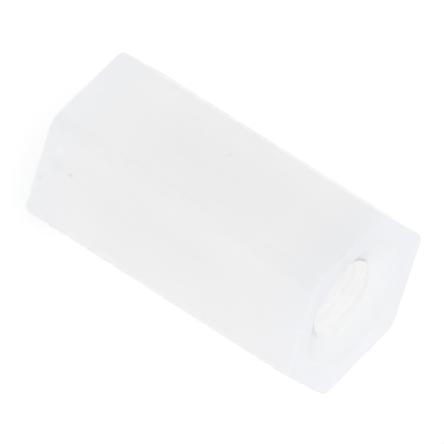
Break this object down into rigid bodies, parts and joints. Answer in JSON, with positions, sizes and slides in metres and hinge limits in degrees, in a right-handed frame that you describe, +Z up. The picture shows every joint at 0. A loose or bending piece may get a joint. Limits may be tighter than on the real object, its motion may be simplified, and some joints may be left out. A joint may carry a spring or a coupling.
{
  "type": "hex standoff",
  "caption": "Moulded nylon hexagonal spacer with a threaded through bore, countersunk at both ends.",
  "frame": {"origin": "centre of the flat that the body lies on, midway between its two end faces", "axes": "+X along the bore, towards one of the two equal ends; +Z up, square to the flat underneath"},
  "size_m": [0.01, 0.0062, 0.0055],
  "materials": {
    "nylon": "natural white nylon, slightly translucent, with the soft sheen of a moulded part"
  },
  "bodies": {
    "root": {"standoff": "nylon"}
  },
  "joints": []
}
